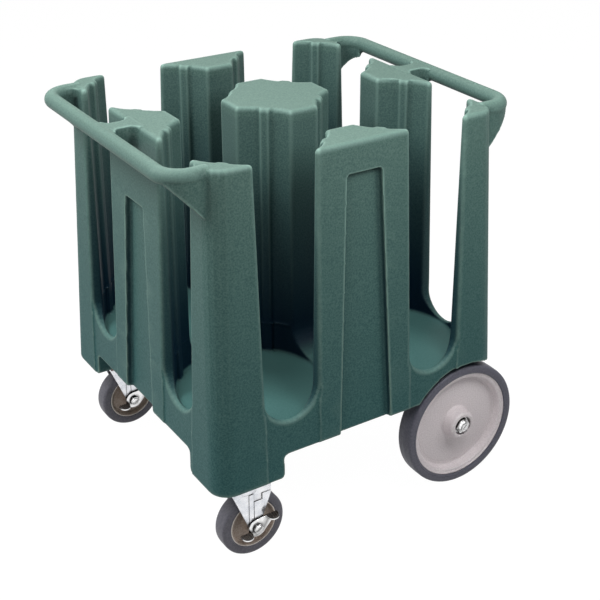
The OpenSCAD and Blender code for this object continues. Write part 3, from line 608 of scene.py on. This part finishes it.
# %% [markdown]
# ## The moulding
#
# The real body comes out of one turning mould, so it is a single skin and
# every edge of it is round, inside corners too. In the model it is twelve
# solids. They could be joined by Boolean unions and their edges bevelled, but
# towers that meet the lower body on flat faces are just what a union handles
# badly. A remesh doesn't mind them, so the skin is made in that way, from
# copies. A copy comes as loose triangles, so its doubles are merged first.

# %% Copies, modifiers and dressing
def alone(piece):
    """Makes piece the only selected and the active object."""
    bpy.ops.object.select_all(action="DESELECT")
    piece.select_set(True)
    bpy.context.view_layer.objects.active = piece


def copies_of(names, title):
    """Joined and merged copies of CAD nodes, as one new object."""
    bpy.ops.object.select_all(action="DESELECT")
    for name in names:
        copy = bpy.data.objects.new(title, frame["nodes"][name].data.copy())
        bpy.context.scene.collection.objects.link(copy)
        copy.select_set(True)
        bpy.context.view_layer.objects.active = copy
    if len(names) > 1:
        bpy.ops.object.join()
    piece = bpy.context.object
    piece.name = title
    bpy.ops.object.mode_set(mode="EDIT")
    bpy.ops.mesh.select_all(action="SELECT")
    bpy.ops.mesh.remove_doubles(threshold=1e-5)
    bpy.ops.mesh.normals_make_consistent(inside=False)
    bpy.ops.object.mode_set(mode="OBJECT")
    return piece


def apply(piece, kind, **settings):
    """Adds a modifier with these settings and applies it."""
    alone(piece)
    modifier = piece.modifiers.new(kind.lower(), kind)
    for key, value in settings.items():
        setattr(modifier, key, value)
    bpy.ops.object.modifier_apply(modifier=modifier.name)


def smooth(piece, degrees):
    """Shades a piece smooth but for edges sharper than this."""
    alone(piece)
    bpy.ops.object.shade_smooth_by_angle(angle=math.radians(degrees))


def dress(piece, slot, body, material=None):
    """Gives a piece the finish of its slot, or the one given, and the body it rides on."""
    piece.data.materials.clear()
    piece.data.materials.append(material or FINISH[slot])
    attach(piece, body)


print("copies come from", len(frame["nodes"]), "nodes")

# %% [markdown]
# Where a rail bends in to its corner tower, the mould has a deep gusset: a wall
# that hangs under the bend, nearly as thick as the bar, and runs down to a point
# on the tower. It takes the pull when a full cart is steered by the rail. The
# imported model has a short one. Here a tall rectangle is spun through the quarter
# turn of the bend and pulled on into the tower, and one slanted cut takes off
# all that lies under the line from the bar to the point. It melts into the skin
# with the rest.

# %% Gussets under the rails' bends
RAIL_R, RAIL_Z = 0.0145, 0.7535
BEND_R = 0.042
BEND = Vector((0.3055, 0.210, RAIL_Z))
GUSSET_HALF = 0.013
GUSSET_DROP = 0.075
TOWER_FACE = 0.2917
INTO_TOWER = 0.020
LIFT = 0.002
BEND_STEPS = 24


def gusset(to_x, to_y):
    """The gusset of the corner at the signs to_x and to_y."""
    centre = Vector((to_x * BEND.x, to_y * BEND.y, RAIL_Z))
    bar = centre + Vector((to_x * BEND_R, 0, -GUSSET_DROP / 2))
    bpy.ops.object.select_all(action="DESELECT")
    bpy.ops.mesh.primitive_plane_add(size=1, location=bar, rotation=(math.pi / 2, 0, 0))
    wall = bpy.context.object
    wall.name = "rail_gusset"
    wall.scale = (2 * GUSSET_HALF, GUSSET_DROP, 1)
    bpy.ops.object.transform_apply(location=True, rotation=True, scale=True)
    bpy.ops.object.mode_set(mode="EDIT")
    bpy.ops.mesh.select_all(action="SELECT")
    quarter = -to_x * to_y * math.pi / 2
    bpy.ops.mesh.spin(steps=BEND_STEPS, angle=quarter, center=centre, axis=(0, 0, 1))
    inwards = (-to_x * INTO_TOWER, 0, 0)
    bpy.ops.mesh.extrude_region_move(TRANSFORM_OT_translate={"value": inwards})
    start = Vector((to_x * (BEND.x + BEND_R), 0, RAIL_Z - RAIL_R + LIFT))
    point = Vector((to_x * TOWER_FACE, 0, RAIL_Z - GUSSET_DROP))
    slope = point - start
    under = Vector((to_x * abs(slope.z), 0, -abs(slope.x)))
    bpy.ops.mesh.select_all(action="SELECT")
    bpy.ops.mesh.bisect(plane_co=start, plane_no=under, use_fill=True, clear_outer=True)
    bpy.ops.mesh.select_all(action="SELECT")
    bpy.ops.mesh.normals_make_consistent(inside=False)
    bpy.ops.object.mode_set(mode="OBJECT")
    return wall


gussets = [gusset(to_x, to_y) for to_x in (-1, 1) for to_y in (-1, 1)]
print("gussets", [len(wall.data.polygons) for wall in gussets])

# %% [markdown]
# Now all of it is joined, and a voxel remesh melts it into one closed skin. Two
# smoothing passes round all the edges by about the same radius, as the mould
# does, and a decimation takes out the triangles that the flat faces don't need.
# It is told what share of them to keep, and a remesh is all quads, which are two
# triangles each. The voxel is the length to choose with care: at 2 mm the ribs
# in the wells and the steps of the panels stay, and the skin still takes only
# seconds.

# %% Melt and smooth
VOXEL, ROUGH_VOXEL = 0.0021, 0.005
TRIANGLES_KEPT = 190000
moulded = [
    name for name in frame["nodes"]
    if name == "lower_body" or "tower" in name or name.startswith("rail_")
]
body = copies_of(moulded, "moulded_body")
alone(body)
for wall in gussets:
    wall.select_set(True)
bpy.ops.object.join()
apply(body, "REMESH", mode="VOXEL", voxel_size=VOXEL)
quads = len(body.data.polygons)
apply(body, "SMOOTH", factor=0.5, iterations=2)
apply(body, "DECIMATE", ratio=TRIANGLES_KEPT / (2 * quads))
smooth(body, 40)
dress(body, "moulding", "cart")
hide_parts(*moulded)
print(body.name, quads, "->", len(body.data.polygons))

# %% [markdown]
# ## Turned pieces
#
# Tyres, hubs, washers and raceways have one profile all the way round, so here
# each is made as a lathe would make it: a profile is drawn point by point by
# extruding one vertex, and it is spun once round its axis. The profile's
# corners are softened first, since no moulded or turned edge is truly sharp.
# Each corner is replaced by five points of a curve that leaves one side and
# meets the other, and no corner takes more than half of a side.

# %% Profiles
CURVE_POINTS = 5
HALF_A_SIDE = 0.49
MM = 0.001


def soft(points):
    """Rounds the corners of a closed profile, and turns it from millimetres to metres.

    Each point is (radius, along, rounding).
    """
    rounded = []
    for i, (r, along, bend) in enumerate(points):
        corner = Vector((r, along))
        if not bend:
            rounded.append(corner * MM)
            continue
        before = Vector(points[i - 1][:2]) - corner
        after = Vector(points[(i + 1) % len(points)][:2]) - corner
        half = before.angle(after) / 2
        room = HALF_A_SIDE * min(before.length, after.length)
        reach = min(bend / math.tan(half), room)
        start = corner + before.normalized() * reach
        end = corner + after.normalized() * reach
        for k in range(CURVE_POINTS):
            t = k / (CURVE_POINTS - 1)
            curve = (1 - t) ** 2 * start + 2 * t * (1 - t) * corner + t * t * end
            rounded.append(curve * MM)
    return rounded


square = soft([(0, 0, 1), (9, 0, 1), (9, 9, 1), (0, 9, 1)])
print("a softened square has", len(square), "points")

# %% [markdown]
# A spin needs a profile of edges. There is no operator that adds a single
# vertex, so a small plane is added and merged to its centre, which leaves one.
# It is moved to the profile's first point and extruded from point to point.
# The spin closes on itself, and its doubles are merged there.

# %% Spins
def turned(title, profile, centre, steps, axis="Y", way=1):
    """Spins a closed profile round a line through centre, way times along the axis."""
    line = Vector((0, way, 0)) if axis == "Y" else Vector((0, 0, way))
    path = [Vector(centre) + Vector((r, 0, 0)) + along * line for r, along in profile]
    bpy.ops.object.select_all(action="DESELECT")
    bpy.ops.mesh.primitive_plane_add(size=0.001)
    piece = bpy.context.object
    piece.name = title
    bpy.ops.object.mode_set(mode="EDIT")
    bpy.ops.mesh.select_all(action="SELECT")
    bpy.ops.mesh.merge(type="CENTER")
    bpy.ops.transform.translate(value=path[0])
    for here, there in zip(path, path[1:] + path[:1]):
        bpy.ops.mesh.extrude_region_move(TRANSFORM_OT_translate={"value": there - here})
    bpy.ops.mesh.select_all(action="SELECT")
    bpy.ops.mesh.spin(steps=steps, angle=2 * math.pi, center=centre, axis=line)
    bpy.ops.mesh.select_all(action="SELECT")
    bpy.ops.mesh.remove_doubles(threshold=1e-6)
    bpy.ops.mesh.normals_make_consistent(inside=False)
    bpy.ops.object.mode_set(mode="OBJECT")
    smooth(piece, 35)
    return piece


steps = 128
SMALL_STEPS = 48
RACE_STEPS = 64
print("spins of", steps, "steps")

# %% [markdown]
# ## The fixed wheels
#
# A cart wheel of this kind is a moulded hub with a solid rubber tyre pressed
# round it. The tyre's outer face is flat but for a fine groove near the rim, its
# shoulders are well rounded, and a very low ridge round the middle of the tread
# shows where the mould parted. The hub's disc is sunk deep behind a stepped
# flange, and the long boss in its middle stands out past the tyre. Distances
# along the axle are counted from the cart's middle, in millimetres, and each
# point is (radius, distance, rounding). The solids have the same main outlines.
# What the profiles add is the groove and the ridge, the steps inside the flange
# and a boss that narrows outwards.

# %% Tyre profile
RIM_R, TREAD_R = 110, 127
TYRE_IN, TYRE_OUT = 261, 300
SEAM = (TYRE_IN + TYRE_OUT) / 2
SHOULDER = 7.5
TYRE = soft([
    (RIM_R + 0.1, TYRE_IN + 1.5, 0), (RIM_R + 0.1, TYRE_OUT - 1.5, 0),
    (RIM_R + 2, TYRE_OUT - 0.4, 0.5), (RIM_R + 3.2, TYRE_OUT, 0.6),
    (RIM_R + 4.6, TYRE_OUT, 0.5), (RIM_R + 5.1, TYRE_OUT - 0.7, 0.3),
    (RIM_R + 5.6, TYRE_OUT, 0.5), (TREAD_R - 0.4, TYRE_OUT, SHOULDER),
    (TREAD_R - 0.1, SEAM + 0.9, 0), (TREAD_R, SEAM + 0.5, 0),
    (TREAD_R, SEAM - 0.5, 0), (TREAD_R - 0.1, SEAM - 0.9, 0),
    (TREAD_R - 0.4, TYRE_IN, SHOULDER), (RIM_R + 3, TYRE_IN, 0.8),
])
print("points of the tyre", len(TYRE))

# %% Hub and washer profiles
BEARING_R, NUT_SEAT_R, BOSS_R = 15, 19, 32
DISC_BACK, DISC_FRONT = 271, 280
FLANGE_BACK, FLANGE_FRONT = 264.5, 297.2
NUT_SEAT, BOSS_END = 297, 306
HUB = soft([
    (BEARING_R, TYRE_IN, 0.5), (BOSS_R + 2, TYRE_IN, 1.5), (39, DISC_BACK, 4),
    (93, DISC_BACK, 4), (97, FLANGE_BACK, 1.5), (RIM_R, FLANGE_BACK, 0.5),
    (RIM_R, FLANGE_FRONT, 0.7), (107.4, FLANGE_FRONT, 1.0), (106.6, 295.7, 0.8),
    (101.8, 294.6, 1.2), (101.0, 293.4, 0.6), (99.8, 292.6, 0.8), (97, DISC_FRONT, 3.5),
    (91, DISC_FRONT, 0.4), (90.4, DISC_FRONT - 0.5, 0.3), (89.8, DISC_FRONT, 0.4),
    (BOSS_R, DISC_FRONT, 4), (28, BOSS_END - 3.5, 2.5), (24.5, BOSS_END, 1.6),
    (NUT_SEAT_R + 1.6, BOSS_END, 0.7), (NUT_SEAT_R, BOSS_END - 1.4, 0.7),
    (NUT_SEAT_R, NUT_SEAT, 0.8), (BEARING_R, NUT_SEAT, 0.3),
])
WASHER_HOLE_R, WASHER_R = 9.8, 18
WASHER_IN, WASHER_OUT = 297.4, 299.9
WASHER = soft([
    (WASHER_HOLE_R, WASHER_IN, 0.3), (WASHER_R, WASHER_IN, 0.6),
    (WASHER_R, WASHER_OUT, 0.6), (WASHER_HOLE_R, WASHER_OUT, 0.3),
])
print("points of the hub", len(HUB), "and of the washer", len(WASHER))

# %% Fixed wheels
wheel_axis = joint_at["wheel_spin_near"] * Vector((1, 0, 1))
for side, way in (("near", -1), ("far", 1)):
    tyre = turned("tyre_" + side, TYRE, wheel_axis, steps, way=way)
    dress(tyre, "wheel_tyre", "wheel_" + side)
    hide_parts("wheel_tyre_" + side)
    hub = turned("hub_" + side, HUB, wheel_axis, steps, way=way)
    dress(hub, "wheel_hub", "wheel_" + side)
    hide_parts("wheel_hub_" + side)
    washer = turned("axle_washer_" + side, WASHER, wheel_axis, SMALL_STEPS, way=way)
    dress(washer, "chrome", "cart")
    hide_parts("wheel_washer_" + side)
    print(tyre.name, len(tyre.data.polygons), hub.name, len(hub.data.polygons))

# %% [markdown]
# ## Pressed and machined metal
#
# Brackets, forks, nuts and bolts come from sheet and bar, and the solids
# already have their true outlines. What they lack is the small round that a
# press or a tumbler leaves on each edge, and it is this round that catches the
# light. A merged copy of a solid is cleaned of needless edges, gets a narrow
# two-step bevel on its sharp edges and is shaded smooth. The width differs from
# piece to piece: a thick hanger takes more than the rim of a small collar.

# %% Softened copies
FLAT, SHARP = 1, 32


def softened(names, title, width, slot, body, material=None):
    """Copies CAD nodes with their sharp edges bevelled by width metres, in their place."""
    piece = copies_of(names, title)
    bpy.ops.object.mode_set(mode="EDIT")
    bpy.ops.mesh.select_all(action="SELECT")
    bpy.ops.mesh.dissolve_limited(angle_limit=math.radians(FLAT))
    bpy.ops.object.mode_set(mode="OBJECT")
    apply(
        piece, "BEVEL", width=width, segments=2, limit_method="ANGLE",
        angle_limit=math.radians(SHARP), use_clamp_overlap=True,
    )
    smooth(piece, SHARP)
    dress(piece, slot, body, material)
    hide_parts(*names)
    return piece


print("edges sharper than", SHARP, "degrees are bevelled")

# %% [markdown]
# The axle runs across the wheel end in two pressed hangers, each held by two
# screws under the body. A collar keeps each wheel off its hanger, and a chromed
# nut with a domed cap closes the end of the axle. That nut is the piece here
# that shows best, so it gets nearly as wide a round as the far bigger hanger.

# %% Axle, hangers and nuts
for side in ("near", "far"):
    nut = softened(["wheel_cap_" + side], "axle_nut_" + side, 0.0007, "chrome", "cart")
    softened(["axle_hanger_" + side], "hanger_" + side, 0.0008, "steel", "cart")
    softened(["axle_collar_" + side], "collar_" + side, 0.0004, "steel", "cart")
softened(["axle"], "axle_bar", 0.0008, "steel", "cart")
softened(["hanger_bolts"], "hanger_screws", 0.0004, "steel", "cart")
print("axle pieces", nut.name, len(nut.data.polygons))

# %% [markdown]
# ## The casters
#
# Each caster is a pressed fork under a raceway, with a rubber-tyred wheel on a
# bolt and a brake rocker beside one leg. Both casters are the same and point
# the same way, so each form is made once for the near one and copied to the far
# one. A copy gets a mesh of its own, moved in edit mode, so that its object
# stays at the origin as every finished piece does.

# %% Places and twins
SWIVEL = joint_at["caster_swivel_near"] * Vector((1, 1, 0))
ROLL = joint_at["caster_roll_near"]
APART = joint_at["caster_roll_far"] - ROLL


def twin(piece, title, slot, body, material=None, replaced=()):
    """A copy of a near caster's piece for the far caster, with its own mesh."""
    other = bpy.data.objects.new(title, piece.data.copy())
    bpy.context.scene.collection.objects.link(other)
    alone(other)
    bpy.ops.object.mode_set(mode="EDIT")
    bpy.ops.mesh.select_all(action="SELECT")
    bpy.ops.transform.translate(value=APART)
    bpy.ops.object.mode_set(mode="OBJECT")
    dress(other, slot, body, material)
    if replaced:
        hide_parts(*replaced)
    return other


print("casters", SWIVEL.to_tuple(3), "and", (SWIVEL + APART).to_tuple(3))

# %% [markdown]
# The caster's wheel is a core with a rubber tyre bonded on. The core is darker
# than its rim, where a thin light line shows the joint with the rubber on each
# face. That line is far thinner than the other forms, so it is a ring of its
# own with a paler finish, rather than a step in the core's profile.

# %% Caster wheel profiles
def mirrored(side):
    """The points of a profile's other side, in the order that goes on round it."""
    return [(r, -along, bend) for r, along, bend in reversed(side)]


CORE_R, ROLLER_R = 46, 63.5
ROLLER_HALF, CORE_HALF, CORE_WEB = 16, 14.5, 6.5
BUSH_HALF = 19.5
roller_side = [
    (CORE_R + 1.6, ROLLER_HALF - 0.4, 0.5), (CORE_R + 3.2, ROLLER_HALF, 0.6),
    (CORE_R + 4.6, ROLLER_HALF, 0.4), (CORE_R + 5, ROLLER_HALF - 0.5, 0.3),
    (CORE_R + 5.4, ROLLER_HALF, 0.4), (ROLLER_R, ROLLER_HALF, 6.5),
]
ROLLER = soft([
    (CORE_R + 0.1, -CORE_HALF, 0), (CORE_R + 0.1, CORE_HALF, 0),
    *roller_side, *mirrored(roller_side),
])
core_side = [
    (10, -BUSH_HALF, 0.4), (16.6, -BUSH_HALF, 1.2), (19.4, -CORE_WEB, 4),
    (39.5, -CORE_WEB, 5), (43.2, -CORE_HALF + 0.1, 1.2), (CORE_R, -CORE_HALF - 0.1, 0.4),
]
CORE = soft([*core_side, *mirrored(core_side)])
print("points of the roller", len(ROLLER), "and of its core", len(CORE))

# %% Caster wheels
roller = turned("roller_near", ROLLER, ROLL, steps, way=-1)
dress(roller, "caster_tyre", "caster_wheel_near")
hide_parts("caster_tyre_near")
twin(roller, "roller_far", "caster_tyre", "caster_wheel_far", replaced=["caster_tyre_far"])
core = turned("core_near", CORE, ROLL, steps, way=-1)
dress(core, "caster_core", "caster_wheel_near")
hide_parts("caster_core_near")
twin(core, "core_far", "caster_core", "caster_wheel_far", replaced=["caster_core_far"])
for face in (-1, 1):
    line = soft([
        (CORE_R - 1.6, face * 14.2, 0), (CORE_R - 1.4, face * 15.1, 0.4),
        (CORE_R + 0.2, face * 15.3, 0.5), (CORE_R + 0.4, face * 14.2, 0),
    ])
    name = "joint_line_" + ("inner" if face < 0 else "outer")
    ring = turned(name + "_near", line, ROLL, steps, way=-1)
    dress(ring, "caster_core", "caster_wheel_near", core_edge)
    twin(ring, name + "_far", "caster_core", "caster_wheel_far", core_edge)
print(roller.name, len(roller.data.polygons), core.name, len(core.data.polygons))

# %% [markdown]
# The raceway is a pair of pressed cups with two rows of balls in them: its edge
# shows as two rounded rims with a dark groove. It is one turned ring here, since
# nothing of the balls can be seen.

# %% Raceways
PIN_R, RACE_R = 6.3, 31
RACE_LOW, RACE_HIGH = 154.1, 161.9
GROOVE_LOW, GROOVE_HIGH = 157.4, 158.2
RACE = soft([
    (PIN_R, RACE_LOW, 0.3), (RACE_R - 2.4, RACE_LOW, 0.5), (RACE_R, RACE_LOW + 1.1, 1.0),
    (RACE_R, GROOVE_LOW - 0.6, 0.8), (RACE_R - 1.6, GROOVE_LOW, 0.3),
    (RACE_R - 1.6, GROOVE_HIGH, 0.3), (RACE_R, GROOVE_HIGH + 0.6, 0.8),
    (RACE_R, RACE_HIGH - 0.7, 0.8), (RACE_R - 1.8, RACE_HIGH, 0.5), (PIN_R, RACE_HIGH, 0.3),
])
race = turned("raceway_near", RACE, SWIVEL, RACE_STEPS, axis="Z")
dress(race, "race", "cart")
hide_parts("caster_race_near")
twin(race, "raceway_far", "race", "cart", replaced=["caster_race_far"])
print(race.name, len(race.data.polygons))

# %% [markdown]
# All the other caster pieces are softened copies. The plate is bolted under the
# foot and the kingpin holds the fork up to it. The fork is pressed from one
# sheet, with stepped beads that stiffen its legs. The brake rocker sits on the
# wheel's bolt outside the fork, a leaf spring holds it at either end of its
# travel, and its tabs carry ribbed rubber pads for the shoe. A table names each
# piece's node, its title, the width of its bevel, its slot and the body that it
# rides on: plate and kingpin stay with the cart, the fork swivels and the
# rocker tips.

# %% Plates, forks and brakes
CASTER_PIECES = [
    ("caster_plate", "plate", 0.0006, "bright_zinc", "cart"),
    ("caster_bolts", "plate_bolts", 0.0004, "steel", "cart"),
    ("caster_kingpin", "kingpin", 0.0004, "steel", "cart"),
    ("caster_fork", "fork", 0.0007, "bright_zinc", "swivel"),
    ("caster_axle_bolt", "roller_bolt", 0.0005, "steel", "swivel"),
    ("caster_axle_nut", "roller_nut", 0.0005, "chrome", "swivel"),
    ("brake_detent", "detent_plate", 0.0003, "bright_zinc", "swivel"),
    ("brake_rocker", "rocker", 0.0006, "bright_zinc", "brake"),
    ("brake_pads", "rocker_pads", 0.0003, "brake_pad", "brake"),
    ("caster_bush", "roller_bush", 0.0003, "steel", "caster_wheel"),
]
for node, title, width, slot, part in CASTER_PIECES:
    near_part, far_part = (part, part) if part == "cart" else (part + "_near", part + "_far")
    gloss = pressed_chrome if title == "rocker" else None
    piece = softened([node + "_near"], title + "_near", width, slot, near_part, gloss)
    twin(piece, title + "_far", slot, far_part, gloss, [node + "_far"])
    print(piece.name, len(piece.data.polygons))
